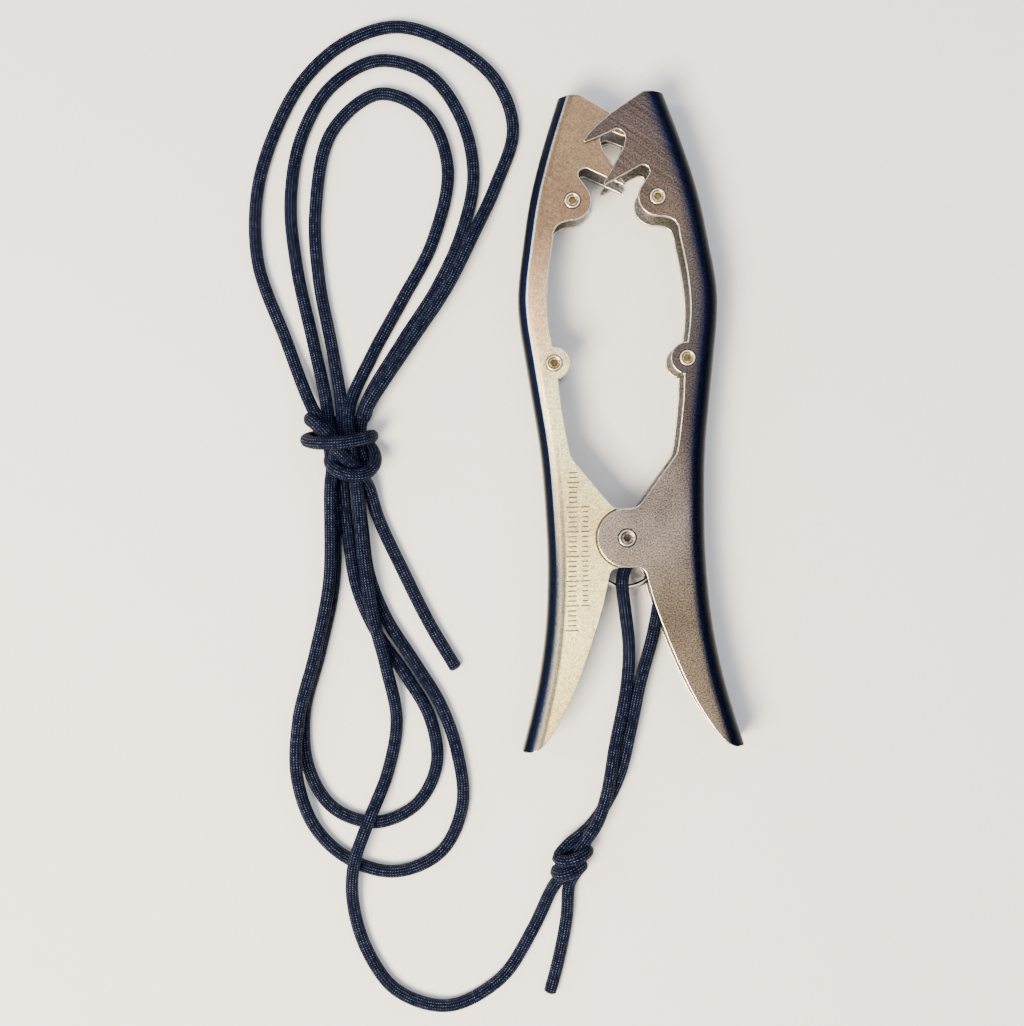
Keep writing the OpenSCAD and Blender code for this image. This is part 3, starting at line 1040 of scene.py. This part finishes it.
@dataclass
class Wire:
    """A round wire swept along a path, which may be a closed loop."""

    name: str
    path: Sequence[Vector]
    radius: float
    material: Material
    girths: Sequence[float] = ()
    closed: bool = False
    sides: int = 14
    smooth_angle: float = 50.0

    def build(self) -> Piece:
        """Sweep the wire, as thick at each point as its girth says.

        Returns:
            The piece, as a plain mesh.
        """
        count = len(self.path)
        mesh = bpy.data.meshes.new(self.name)
        mesh.from_pydata(
            [tuple(p) for p in self.path],
            [(i, (i + 1) % count) for i in range(count if self.closed else count - 1)], [])
        girth = mesh.attributes.new("girth", "FLOAT", "POINT")
        girth.data.foreach_set("value", list(self.girths) or [1.0] * count)
        piece = link_object(self.name, mesh)
        run_kit(piece, self._tree(), {
            "Wire Radius": self.radius, "Sides": self.sides, "Metal": self.material})
        smooth(piece.data, self.smooth_angle)
        return piece

    def _tree(self) -> Tree:
        """Skin the path with a round profile.

        Returns:
            The tree.
        """
        tree, inputs = open_kit(f"{self.name}_sweep", (
            ("Wire Radius", "Float"), ("Sides", "Int"), ("Metal", "Material")))
        curve = add(tree, "GeometryNodeMeshToCurve", {0: inputs["Geometry"]})
        girth = add(tree, "GeometryNodeInputNamedAttribute", {"Name": "girth"},
                    data_type="FLOAT")
        sized = add(tree, "GeometryNodeSetCurveRadius", {
            "Curve": curve.outputs[0], "Radius": girth.outputs[0]})
        ring = add(tree, "GeometryNodeCurvePrimitiveCircle", {
            "Resolution": inputs["Sides"], "Radius": inputs["Wire Radius"]})
        tube = add(tree, "GeometryNodeCurveToMesh", {
            "Curve": sized.outputs[0], "Profile Curve": ring.outputs[0], "Fill Caps": True})
        return close_kit(tree, tube.outputs[0], inputs["Metal"])


@dataclass
class TorsionSpring:
    """The spring round the barrel, one leg inside each arm's spine."""

    material: Material
    wire: float = 1.4 * MM
    turns: int = 3
    clearance: float = 0.4 * MM
    leg_inset: float = 0.6
    leg_drop: float = 26 * MM
    steps: int = 40

    def build(self) -> Piece:
        """Wind the spring.

        Returns:
            The finished piece.
        """
        low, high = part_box("torsion_spring")
        barrel_low, barrel_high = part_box("pivot_barrel")
        centre = (barrel_low + barrel_high) / 2
        radius = self.wire / 2
        coil = (barrel_high.x - barrel_low.x) / 2 + self.clearance + radius
        reach = high.x - radius * self.leg_inset
        top, bottom = high.z - radius, low.z + radius
        first = (math.acos(coil / math.hypot(reach, self.leg_drop))
                 - math.atan2(self.leg_drop, reach))
        sweep = 2 * math.pi * self.turns + math.pi - 2 * first
        path = [Vector((centre.x + reach, centre.y - self.leg_drop, top))]
        count = math.ceil(self.steps * sweep / (2 * math.pi))
        for i in range(count + 1):
            angle = first + sweep * i / count
            path.append(Vector((
                centre.x + coil * math.cos(angle), centre.y + coil * math.sin(angle),
                top + (bottom - top) * i / count)))
        path.append(Vector((centre.x - reach, centre.y - self.leg_drop, bottom)))
        piece = Wire("torsion_spring_wire", path, radius, self.material).build()
        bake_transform(piece)
        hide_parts("torsion_spring")
        return piece


@dataclass
class TetherRing:
    """The welded ring for the cord, whose weld is a low crown between two shallow dips."""

    material: Material
    steps: int = 128
    sides: int = 24
    weld_angle: float = math.radians(200)
    weld_width: float = math.radians(7)
    weld_dip: float = 0.06
    crown_share: float = 2.2
    crown_sharpness: float = 6.0

    def build(self) -> Piece:
        """Bend the ring and let it ride on its body.

        Returns:
            The finished piece.
        """
        low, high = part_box("tether_ring")
        centre = (low + high) / 2
        radius = (high.z - low.z) / 2
        middle = (high.x - low.x) / 2 - radius
        path, girths = [], []
        for i in range(self.steps):
            angle = 2 * math.pi * i / self.steps
            path.append(centre + middle * Vector((math.cos(angle), math.sin(angle), 0)))
            off = (angle - self.weld_angle) / self.weld_width
            crown = self.crown_share * math.exp(-self.crown_sharpness * off * off)
            girths.append(1.0 - self.weld_dip * math.exp(-off * off) * (1 - crown))
        piece = Wire(
            "tether_ring_wire", path, radius, self.material, girths, True, self.sides).build()
        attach(piece, "ring")
        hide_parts("tether_ring")
        return piece


# ---- Cord ----------------------------------------------------------------------------

# Places that the cord's centre passes through, in millimetres from the pivot on the surface.
OVER_RING: tuple[Point, ...] = (
    (4, -7, 6.6), (0.9, -8, 8.8), (-1.1, -11.4, 9.9), (-1.4, -15.6, 10), (-0.8, -22, 8.4),
    (0.2, -34, 6), (-1, -47, 5.5), (-5, -64, 6), (-8.4, -80, 6.2), (-11.6, -88.2, 7),
)
UNDER_RING: tuple[Point, ...] = (
    (4, -7, 6.6), (7.3, -8.8, 4.8), (9.4, -12.5, 3.9), (10.2, -19, 3.8), (7.8, -31, 4.5),
    (3.5, -45, 4.8), (-0.1, -60, 4.5), (-4.4, -75, 3.8), (-11.6, -87.6, 2.5),
)
TAIL: tuple[Point, ...] = (
    (-21.2, -109.6, 2.5), (-22, -118, 2), (-24.8, -130.5, 2), (-28.2, -142, 2),
)
STANDING: tuple[Point, ...] = (
    (-26.4, -109, 3.4), (-32.9, -121.9, 2), (-43.5, -136.8, 2), (-60, -144.6, 2),
    (-75.8, -139.4, 2), (-84.8, -126.4, 2), (-88.6, -111, 3), (-87.4, -98, 6.4),
    (-82.4, -85, 6.4), (-76.4, -71, 2.4), (-73, -55, 2.2), (-75.3, -38, 6), (-78.8, -22, 6.4),
    (-81.3, -2, 6.4), (-82.3, 19.5, 7.6),
)
INNER_LOWER: tuple[Point, ...] = (
    (-87, 19.5, 4), (-86, 3, 2), (-84, -12.5, 2), (-78.6, -26.5, 2), (-69.8, -40.5, 2),
    (-62.5, -54.5, 2), (-61, -69, 2), (-67.8, -81.3, 2), (-80.5, -86.4, 2), (-93.6, -81.6, 2),
    (-101, -69, 2), (-101.8, -52, 2), (-96.1, -32, 2), (-91, -10, 2), (-90, 19.5, 4.4),
)
OUTER_LOWER: tuple[Point, ...] = (
    (-80.2, 26.6, 5.2), (-82.2, 19.5, 3), (-81.5, 5, 2), (-80, -9, 2), (-75.2, -22.5, 2),
    (-66.8, -36.8, 2), (-59, -50.6, 2), (-54.4, -65.5, 2), (-53.4, -82, 2), (-60.5, -96.3, 2),
    (-74.5, -102, 2), (-88.5, -98.2, 2), (-99.4, -87.8, 2.2), (-104.2, -71, 6.2),
    (-103.1, -53, 6.4), (-97, -32, 6.4), (-92, -10, 6.4), (-90.3, 19.5, 8.8),
)
INNER_UPPER: tuple[Point, ...] = (
    (-86.6, 43.5, 3.5), (-89, 62, 2), (-92.4, 84, 2), (-92.8, 105, 2), (-86.8, 130, 2),
    (-71.5, 141.4, 2), (-57, 134.5, 2), (-50.9, 117.5, 2), (-56.5, 94.5, 2), (-67, 76, 2),
    (-77, 59, 2), (-84, 43.5, 4.5),
)
MIDDLE_UPPER: tuple[Point, ...] = (
    (-91, 43.5, 4.5), (-95, 65, 2), (-99.2, 88, 2), (-100.4, 109, 2), (-96.2, 129, 2),
    (-86.5, 144.2, 2), (-71.5, 151.8, 2), (-56, 147, 2), (-46.2, 133, 2), (-42.9, 115, 2),
    (-47.2, 97, 2), (-55.6, 80, 2), (-67, 63.5, 2), (-79.4, 43.5, 2.6),
)
OUTER_UPPER: tuple[Point, ...] = (
    (-95.4, 43.5, 6), (-103.6, 66, 2), (-111.3, 90, 2), (-110.8, 111.5, 2), (-105.3, 129, 2),
    (-95.5, 146, 2), (-81.5, 157.8, 2), (-65, 162.2, 2), (-48.2, 156, 2), (-35, 144.5, 2),
    (-30, 129, 2), (-36, 111.5, 2.4), (-43.2, 96.5, 5.6), (-52.6, 79.2, 6.2), (-65, 62, 6.2),
    (-78, 43.5, 7.2),
)
FREE_END: tuple[Point, ...] = (
    (-79, 18.6, 4.4), (-76.4, 8.5, 2), (-69.4, -8, 2), (-61.6, -25, 2), (-53.6, -39.5, 2),
)

# The long strand runs through the small knot, and the tail is wrapped round it.
SMALL_KNOT_CORE: tuple[Point, ...] = (
    (-14.6, -92.6, 6.6), (-18, -97, 6.1), (-21.2, -101.6, 5.8), (-24, -105.4, 5),
)
SMALL_KNOT_WRAPS: tuple[Point, ...] = (
    (-16, -91.8, 3.4), (-20.8, -95, 5), (-24.1, -98.6, 7), (-21.4, -99.2, 9.8), (-17.4, -98, 9.8),
    (-14.9, -96.8, 6.4), (-17.2, -99, 2.6), (-21, -101.6, 2.2), (-24.8, -103, 5.6),
    (-22.2, -103.3, 9.6), (-18.9, -102.1, 9.2), (-16.8, -101.4, 5.8), (-18.8, -104.2, 3.2),
    (-20.5, -107, 2.8),
)
# The hank's turns cross inside its knot in this order.
HANK_CROSSINGS: tuple[Point, ...] = (
    (-83.6, 29.4, 9.4), (-86.5, 32, 6), (-90.5, 32, 6), (-81.2, 30, 5.4), (-88.5, 32, 10),
)
# The last turn of the hank is wrapped round the others to make the hank's knot.
HANK_WRAPS: tuple[Point, ...] = (
    (-79.6, 40.4, 3.6), (-85, 37.6, 2), (-92, 35.4, 2.6), (-97.4, 33.8, 7.2), (-94.2, 32.4, 12.6),
    (-87, 32, 15), (-80.4, 32.8, 13.2), (-77, 34.2, 8.6), (-79.2, 33, 3.6), (-84, 31, 2),
    (-88.4, 29.6, 3), (-90.4, 27.2, 7.4), (-88.4, 24.2, 11.8), (-84, 22.2, 13.4),
    (-79.2, 22.5, 12), (-76.3, 25.8, 8.4), (-77.6, 30.4, 4), (-82, 34.8, 2), (-88, 38.4, 2),
    (-93, 40.6, 3.4), (-96.2, 40.2, 7.2), (-94, 38.2, 10.8), (-90.4, 34.4, 11.6), (-87, 29.6, 12),
    (-83.2, 25.4, 10.6), (-80.6, 21.6, 7),
)


def through(points: Sequence[Point], lead: Point, spacing: float, floor: float) -> list[Vector]:
    """Draw one smooth curve through all the points.

    Args:
        points: Places that the curve passes through, in millimetres.
        lead: A place before the first one, which the curve comes from.
        spacing: Distance between the curve's own points, in millimetres.
        floor: The least height that the curve may have.

    Returns:
        Points along a centripetal curve, evenly spaced.
    """
    fine_step, fewest, hair = 0.25, 4, 1e-9
    p = [Vector(q) for q in points]
    p = [Vector(lead), *p, 2 * p[-1] - p[-2]]
    fine = []
    for a, b, c, d in zip(p, p[1:], p[2:], p[3:]):
        t1 = (b - a).length ** 0.5
        t2 = t1 + (c - b).length ** 0.5
        t3 = t2 + (d - c).length ** 0.5
        steps = max(fewest, round((c - b).length / fine_step))
        for i in range(steps):
            t = t1 + (t2 - t1) * i / steps
            ab, bc = a.lerp(b, t / t1), b.lerp(c, (t - t1) / (t2 - t1))
            cd = c.lerp(d, (t - t2) / (t3 - t2))
            abc, bcd = ab.lerp(bc, t / t2), bc.lerp(cd, (t - t1) / (t3 - t1))
            fine.append(abc.lerp(bcd, (t - t1) / (t2 - t1)))
    fine.append(p[-2])
    total = sum((b - a).length for a, b in zip(fine, fine[1:]))
    gap = total / round(total / spacing)
    even, walked = [fine[0]], 0.0
    for a, b in zip(fine, fine[1:]):
        step = (b - a).length
        while walked + step >= gap * len(even) - hair:
            even.append(a.lerp(b, (gap * len(even) - walked) / step))
        walked += step
    for point in even:
        point.z = max(point.z, floor)
    return even


@dataclass
class BraidedCord:
    """One stretch of the tether cord: a round braided tube with a melted end. In millimetres."""

    name: str
    route: tuple[Point, ...]
    lead: Point
    nodes: tuple[str, ...]
    sheath: Material
    melted: Material
    diameter: float = 4.0
    sides: int = 20
    spacing: float = 1.3
    tip: float = 0.9
    dome: tuple[float, ...] = (0.45, 0.9, 1.25)

    def build(self) -> Piece:
        """Returns:
            The finished piece.
        """
        low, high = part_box("pivot_barrel")
        origin = Vector(((low.x + high.x) / 2, (low.y + high.y) / 2, 0)) / MM
        curve = through(self.route, self.lead, self.spacing, self.diameter / 2)
        line = [origin + p for p in curve]
        piece = link_object(self.name, self._tube(line))
        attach(piece, Side.LEFT.arm)
        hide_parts(*self.nodes)
        return piece

    def _tube(self, line: Sequence[Vector]) -> bpy.types.Mesh:
        """Skin the cord's centre line, and dome its free end as melting does.

        Args:
            line: Even points along the centre, in millimetres.

        Returns:
            A closed tube with a UV map that runs once round in U and in millimetres along V.
        """
        radius, last = self.diameter / 2, len(line) - 1
        ways = [
            (line[min(i + 1, last)] - line[max(i - 1, 0)]).normalized() for i in range(last + 1)]
        rings = [(p, w, radius) for p, w in zip(line, ways)]
        rings[-1] = (line[-1] - ways[-1] * self.tip, ways[-1], radius)
        rings += [
            (line[-1] + ways[-1] * self.tip * (math.sin(a) - 1), ways[-1], math.cos(a) * radius)
            for a in self.dome]

        work = bmesh.new()
        grid, marks, along, travelled = [], [], Vector((0, 0, 1)), 0.0
        previous = rings[0][0]
        for centre, way, size in rings:
            along = (along - way * along.dot(way)).normalized()
            beside = way.cross(along)
            travelled += (centre - previous).length
            previous = centre
            marks.append(travelled)
            grid.append([
                work.verts.new((centre + size * (math.cos(a) * along + math.sin(a) * beside)) * MM)
                for a in (2 * math.pi * k / self.sides for k in range(self.sides))])
        layer = work.loops.layers.uv.new("UVMap")
        for i in range(len(grid) - 1):
            for k in range(self.sides):
                j = (k + 1) % self.sides
                wall = work.faces.new((grid[i][k], grid[i][j], grid[i + 1][j], grid[i + 1][k]))
                wall.smooth = True
                wall.material_index = int(i >= last)
                corners = ((k, i), (k + 1, i), (k + 1, i + 1), (k, i + 1))
                for loop, (u, v) in zip(wall.loops, corners):
                    loop[layer].uv = (u / self.sides, marks[v])
        work.faces.new(list(reversed(grid[0])))
        tip = work.faces.new(grid[-1])
        tip.material_index = 1
        tip.smooth = True
        mesh = bpy.data.meshes.new(self.name)
        work.to_mesh(mesh)
        work.free()
        mesh.materials.append(self.sheath)
        mesh.materials.append(self.melted)
        return mesh


@dataclass
class TetherCord:
    """The whole cord: the long strand and the tail, which meet inside the ring."""

    sheath: Material
    melted: Material

    def build(self) -> list[Piece]:
        """Lay both strands.

        Returns:
            The two pieces.
        """
        a, b, c, d, e = HANK_CROSSINGS
        long_route = (
            *OVER_RING, *SMALL_KNOT_CORE, *STANDING, a, *reversed(INNER_UPPER), b, *INNER_LOWER, c,
            *MIDDLE_UPPER, d, *OUTER_LOWER, e, *OUTER_UPPER, *HANK_WRAPS, *FREE_END)
        long_nodes = (
            "tether_strand", "small_knot", "standing_cord", "hank_knot", "inner_lower_loop",
            "outer_lower_loop", "inner_upper_loop", "middle_upper_loop", "outer_upper_loop",
            "free_end")
        tail_route = (*UNDER_RING, *SMALL_KNOT_WRAPS, *TAIL)
        strands = (
            ("tether_cord", long_route, UNDER_RING[1], long_nodes),
            ("tether_tail", tail_route, OVER_RING[1], ("tail_strand", "tail_end")))
        return [BraidedCord(*strand, self.sheath, self.melted).build() for strand in strands]


# ---- Spacers and barrel --------------------------------------------------------------


@dataclass
class TurnedParts:
    """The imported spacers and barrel, which keep their shape and get a turned finish."""

    material: Material
    nodes: tuple[str, ...] = (
        "left_upper_standoff", "left_mid_standoff", "right_upper_standoff", "right_mid_standoff",
        "pivot_barrel")

    def build(self) -> list[Piece]:
        """Dress the parts.

        Returns:
            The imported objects.
        """
        pieces = [bpy.data.objects[node] for node in self.nodes]
        for piece in pieces:
            piece.data.materials.clear()
            piece.data.materials.append(self.material)
        return pieces


# ---- Studio --------------------------------------------------------------------------


@dataclass(frozen=True)
class Softbox:
    """A rectangular light that faces the object: its middle in millimetres, its sides in metres."""

    name: str
    place: Point
    size: tuple[float, float]
    watts: float
    tint: str

    def build(self) -> None:
        """Hang the light."""
        data = bpy.data.lights.new(self.name, "AREA")
        data.shape = "RECTANGLE"
        data.size, data.size_y = self.size
        data.energy = self.watts
        data.color = linear(self.tint)[:3]
        lamp = bpy.data.objects.new(self.name, data)
        lamp.location = Vector(self.place) * MM
        lamp.rotation_euler = (-lamp.location).to_track_quat("-Z", "Y").to_euler()
        bpy.context.scene.collection.objects.link(lamp)


@dataclass
class Studio:
    """A pale floor, soft light from the lower left and a camera straight above."""

    camera_place: Point = (-34.6, -26.6, 492.0)
    camera_lean: float = 2.04
    lens: float = 54.9
    sensor: float = 36.0
    clip: tuple[float, float] = (0.01, 20.0)
    floor_size: float = 24.0
    floor_tint: str = "f7f6f4"
    floor_roughness: float = 0.9
    lights: tuple[Softbox, ...] = (
        Softbox("key", (-430, -420, 820), (0.42, 0.42), 30.0, "ffedd0"),
        Softbox("side_strip", (-900, 160, 620), (0.1, 0.8), 4.0, "ffffff"),
        Softbox("fill", (500, 500, 1300), (1.2, 1.2), 8.0, "e6eeff"))
    room: tuple[tuple[float, str], ...] = (
        (0.0, "dfdfdf"), (0.2, "cfd2d8"), (0.34, "1d2748"), (0.62, "3a4462"), (0.86, "eeeeee"),
        (1.0, "ffffff"))
    room_strength: float = 1.3

    def build(self) -> None:
        """Make the camera, the floor, the lights and the room."""
        self._camera()
        self._floor()
        for light in self.lights:
            light.build()
        self._room()

    def _camera(self) -> None:
        """Hang the camera above the gripper, its top leaning a little towards +X."""
        data = bpy.data.cameras.new("above")
        data.sensor_width = self.sensor
        data.lens = self.lens
        data.clip_start, data.clip_end = self.clip
        camera = bpy.data.objects.new("above", data)
        camera.location = Vector(self.camera_place) * MM
        camera.rotation_euler = (0, 0, -math.radians(self.camera_lean))
        bpy.context.scene.collection.objects.link(camera)
        bpy.context.scene.camera = camera

    def _floor(self) -> None:
        """Lay a floor of plain matt paper."""
        half = self.floor_size / 2
        mesh = bpy.data.meshes.new("floor")
        mesh.from_pydata(
            [(-half, -half, 0), (half, -half, 0), (half, half, 0), (-half, half, 0)], [],
            [(0, 1, 2, 3)])
        material, tree, shader, _ = blank("pale_paper")
        plug(tree, shader, {
            "Base Color": linear(self.floor_tint), "Roughness": self.floor_roughness})
        mesh.materials.append(material)
        link_object("floor", mesh)

    def _room(self) -> None:
        """Light the room: pale at the floor's edge and overhead, and dusky blue between."""
        world = bpy.data.worlds.new("room")
        bpy.context.scene.world = world
        world.use_nodes = True
        tree = world.node_tree
        way = add(tree, "ShaderNodeTexCoord").outputs["Generated"]
        height = add(tree, "ShaderNodeSeparateXYZ", {0: way}).outputs["Z"]
        room = add(tree, "ShaderNodeValToRGB", {0: height},
                   stops=[(at, linear(code)) for at, code in self.room])
        plug(tree, tree.nodes["Background"], {
            "Color": room.outputs[0], "Strength": self.room_strength})


# ---- Build ---------------------------------------------------------------------------

# Both ramps of an arm's bends end in the same bands on the spine: painted dark reflection and
# shade.
LEFT_SPINE: tuple[Band, ...] = (
    (0.84, "080d1e", 1.0), (0.93, "151a28", 0.95), (0.995, "5a5d66", 0.6))
RIGHT_SPINE: tuple[Band, ...] = (
    (0.84, "080c1a", 1.0), (0.93, "151925", 0.95), (0.995, "55565e", 0.6))
# The left arm keeps its blasted skin, evenly grained. Its straw tints, pale cream along the handle
# and belly and brown at the jaw, are painted light. Its bends hold painted shade, a painted dark
# reflection and a painted white highlight line.
LEFT_SHEET = SatinSheet(
    "satin_stainless_warm",
    tints=((0.05, "d2bf87"), (0.2, "fff4b0"), (0.35, "e3cb94"), (0.5, "fff8bd"),
           (0.65, "ecc499"), (0.8, "80664f"), (0.95, "896f56")),
    jaw_bend=((0.56, "b3a48e", 0.0), (0.61, "a79c8e", 0.3), (0.635, "fff6e6", 0.8),
              (0.655, "ffffff", 0.95), (0.675, "1b2440", 1.0), *LEFT_SPINE),
    handle_bend=((0.44, "595f66", 0.0), (0.485, "32373e", 0.85), (0.56, "4d5258", 0.9),
                 (0.63, "2f384b", 0.95), (0.68, "161f38", 1.0), *LEFT_SPINE),
    stain_tint="a58a68", stain_share=0.3, brushed=0.2, speckle=(0.62, 1.28),
    rub_radius=9.25 * MM)
# The right arm's skin is stained in patches, coarse of grain, and brushed bare at the jaw. Its
# brown tints are darker than the left arm's as painted shade, and its bends hold painted shade and
# a painted dark reflection.
RIGHT_SHEET = SatinSheet(
    "satin_stainless_worn",
    tints=((0.05, "7d705f"), (0.2, "786b5a"), (0.35, "8c8179"), (0.5, "504139"),
           (0.65, "524c49"), (0.8, "6b5b4c"), (0.95, "544843")),
    jaw_bend=((0.18, "54504c", 0.0), (0.36, "3c3a40", 0.3), (0.46, "26283a", 0.65),
              (0.55, "11162a", 1.0), *RIGHT_SPINE),
    handle_bend=((0.3, "54504c", 0.0), (0.46, "3c3a40", 0.3), (0.52, "1d2133", 0.75),
                 (0.57, "11162a", 1.0), *RIGHT_SPINE),
    stain_tint="3f3732", stain_share=0.5, brushed=0.8, speckle=(0.36, 1.5))
# Sheared by the press, with the corners filed off: a thin line that catches the light. Its
# near-white tint is partly a painted highlight.
CUT_EDGE = BareMetal("sheared_steel_edge", "fff8ea", "cfc4b0", 0.24, (600.0, 600.0, 600.0))
# Turned on a lathe: a soft grey shine with fine rings.
TURNED = BareMetal("turned_steel", "b9b6b0", "8c8a86", 0.3)
# Cold-drawn spring wire: darker than the sheet, and dull.
SPRING_WIRE = BareMetal("drawn_spring_wire", "7b7d80", "55575b", 0.35)
# Drawn wire, polished after it was welded: the room shows in it.
RING_WIRE = BareMetal("polished_ring_wire", "e4e0d6", "cfc9bc", 0.14)
# The pivot's screw: worn duller, with a plain, dirty socket, darkened more by painted shade.
PLAIN_SCREW = PlatedScrew("screw_bright_steel_plain_socket", "d8cdbb", "a08f7c", "1d1711")


def screw_sets(yellow: Material, plain: Material) -> Iterable[ScrewSet]:
    """All the screws, one set for each body, size and face.

    Args:
        yellow: The flange screws' material.
        plain: The pivot screws' material.

    Yields:
        The sets.
    """
    heads = {Face.FRONT: 0.5 * MM, Face.BACK: 0.7 * MM}
    for side in Side:
        word = side.name.lower()
        for face in Face:
            way = face.name.lower()
            nodes = tuple(f"{word}_{place}_screw_{way}" for place in ("upper", "mid"))
            yield ScrewSet(
                f"{word}_screws_{way}", nodes, face, side.arm, yellow, heads[face],
                shank_radius=1.5 * MM)
    for face in Face:
        way = face.name.lower()
        yield ScrewSet(
            f"pivot_cap_{way}", (f"pivot_screw_{way}",), face, Side.LEFT.arm, plain, heads[face],
            shank_radius=1.3 * MM, dish_radius=1.9 * MM, seam_width=0.32 * MM)


def report(*pieces: Piece) -> None:
    """Log each piece's name and number of faces."""
    for piece in pieces:
        LOG.info("%s: %d faces", piece.name, len(piece.data.polygons))


def main() -> None:
    logging.basicConfig(level=logging.INFO, format="%(name)s: %(message)s")
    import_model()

    Studio().build()
    report(*TetherCord(BraidedNylon().build(), MeltedNylon().build()).build())

    cut = CUT_EDGE.build()
    left_sheet, right_sheet = LEFT_SHEET.build(), RIGHT_SHEET.build()
    report(PressedArm(Side.LEFT, Slot.LEFT_ARM, left_sheet, cut).build())
    report(PressedArm(Side.RIGHT, Slot.RIGHT_ARM, right_sheet, cut).build())
    report(GaugeMarks(EtchedMark().build()).build())

    report(*TurnedParts(TURNED.build()).build())
    for screws in screw_sets(PlatedScrew().build(), PLAIN_SCREW.build()):
        report(screws.build())
    report(TorsionSpring(SPRING_WIRE.build()).build())
    report(TetherRing(RING_WIRE.build()).build())


if __name__ == "__main__":
    main()
